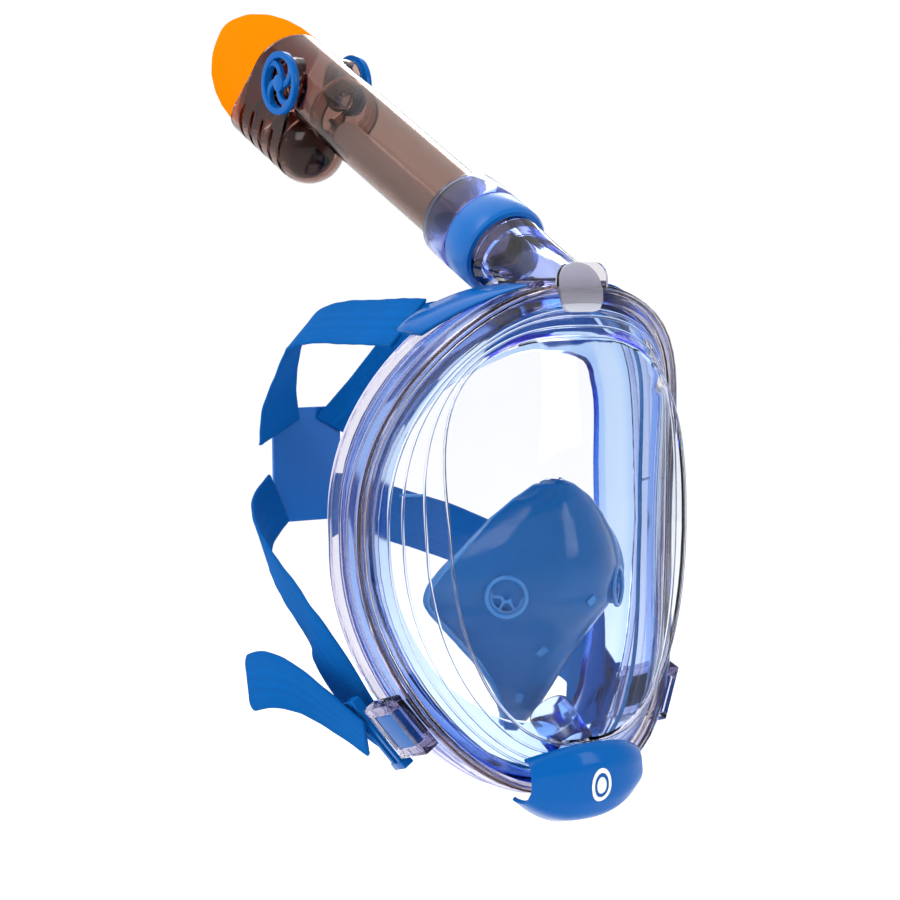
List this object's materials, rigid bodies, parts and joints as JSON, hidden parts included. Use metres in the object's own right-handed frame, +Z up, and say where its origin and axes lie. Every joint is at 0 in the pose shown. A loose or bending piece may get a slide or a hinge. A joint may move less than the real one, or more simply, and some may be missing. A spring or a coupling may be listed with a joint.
{
  "type": "full-face snorkel mask",
  "caption": "Full-face snorkel mask with a wide clear lens, a soft skirt and breathing cup, a rear-sloping snorkel with a float dry top, and a four-strap head harness.",
  "frame": {"origin": "centre of the face opening, on the left-right middle plane", "axes": "-Y ahead of the wearer, +X to the wearer's left, +Z up"},
  "size_m": [0.1972, 0.3554, 0.4149],
  "materials": {
    "smoky_plastic": "glossy, see-through",
    "clear_lens": "clear, polished",
    "skirt_silicone": "satin, translucent",
    "cup_silicone": "glossy, translucent",
    "smoky_tube": "glossy, see-through",
    "blue_clear_plastic": "glossy, see-through",
    "blue_silicone": "satin",
    "orange_plastic": "fine satin",
    "pale_plastic": "satin",
    "blue_webbing": "woven elastic",
    "blue_plastic": "glossy"
  },
  "bodies": {
    "mask": {"frame": "smoky_plastic", "lens": "clear_lens", "bezel_ring": "smoky_plastic", "face_skirt": "skirt_silicone", "oronasal_cup": "cup_silicone", "cup_valve_seat_left": "blue_plastic", "cup_valve_seat_right": "blue_plastic", "chin_cover": "blue_plastic", "chin_valve_seat": "smoky_plastic", "snorkel_socket": "clear_lens", "neck_gasket": "blue_silicone", "upper_strap_left": "blue_webbing", "upper_strap_right": "blue_webbing", "lower_strap_left": "blue_webbing", "lower_strap_right": "blue_webbing", "back_patch": "blue_webbing", "strap_tail_left": "blue_webbing", "strap_tail_right": "blue_webbing", "upper_clip_left": "blue_plastic", "upper_clip_right": "blue_plastic", "lower_buckle_left": "blue_plastic", "lower_buckle_right": "blue_plastic", "strap_lug_left": "smoky_plastic", "strap_lug_right": "smoky_plastic"},
    "snorkel": {"snorkel_tube": "smoky_tube", "tube_collar": "blue_clear_plastic", "tube_seal": "blue_silicone", "inner_duct": "smoky_tube", "drytop_housing": "smoky_tube", "drytop_cap": "orange_plastic", "exhaust_cap_left": "blue_plastic", "exhaust_cap_right": "blue_plastic"},
    "float": {"float": "pale_plastic", "float_seal": "blue_silicone"},
    "chin_flap": {"chin_valve_flap": "blue_silicone"},
    "cup_flap_left": {"cup_valve_flap_left": "blue_silicone"},
    "exhaust_flap_left": {"exhaust_flap_left": "blue_silicone"},
    "button_left": {"release_button_left": "blue_plastic"},
    "cup_flap_right": {"cup_valve_flap_right": "blue_silicone"},
    "exhaust_flap_right": {"exhaust_flap_right": "blue_silicone"},
    "button_right": {"release_button_right": "blue_plastic"}
  },
  "joints": [
    {"name": "snorkel_pull", "type": "slide", "parent": "mask", "child": "snorkel", "axis": [0, 0.8862, 0.4633], "range_m": [0, 0.04]},
    {"name": "float_slide", "type": "slide", "parent": "snorkel", "child": "float", "axis": [0, 0.8862, 0.4633], "range_m": [0, 0.0098]},
    {"name": "chin_flap_lift", "type": "slide", "parent": "mask", "child": "chin_flap", "axis": [0, -0.788, -0.6157], "range_m": [0, 0.0009], "stiffness_N_per_m": 60},
    {"name": "cup_flap_lift_left", "type": "slide", "parent": "mask", "child": "cup_flap_left", "axis": [-0.6157, 0.788, 0], "range_m": [0, 0.0009], "stiffness_N_per_m": 60},
    {"name": "exhaust_flap_lift_left", "type": "slide", "parent": "snorkel", "child": "exhaust_flap_left", "axis": [1, 0, 0], "range_m": [0, 0.0009], "stiffness_N_per_m": 60},
    {"name": "button_press_left", "type": "slide", "parent": "mask", "child": "button_left", "axis": [-0.8268, 0, 0.5626], "range_m": [0, 0.0015], "stiffness_N_per_m": 600},
    {"name": "cup_flap_lift_right", "type": "slide", "parent": "mask", "child": "cup_flap_right", "axis": [0.6157, 0.788, 0], "range_m": [0, 0.0009], "stiffness_N_per_m": 60},
    {"name": "exhaust_flap_lift_right", "type": "slide", "parent": "snorkel", "child": "exhaust_flap_right", "axis": [-1, 0, 0], "range_m": [0, 0.0009], "stiffness_N_per_m": 60},
    {"name": "button_press_right", "type": "slide", "parent": "mask", "child": "button_right", "axis": [0.8268, 0, 0.5626], "range_m": [0, 0.0015], "stiffness_N_per_m": 600}
  ]
}
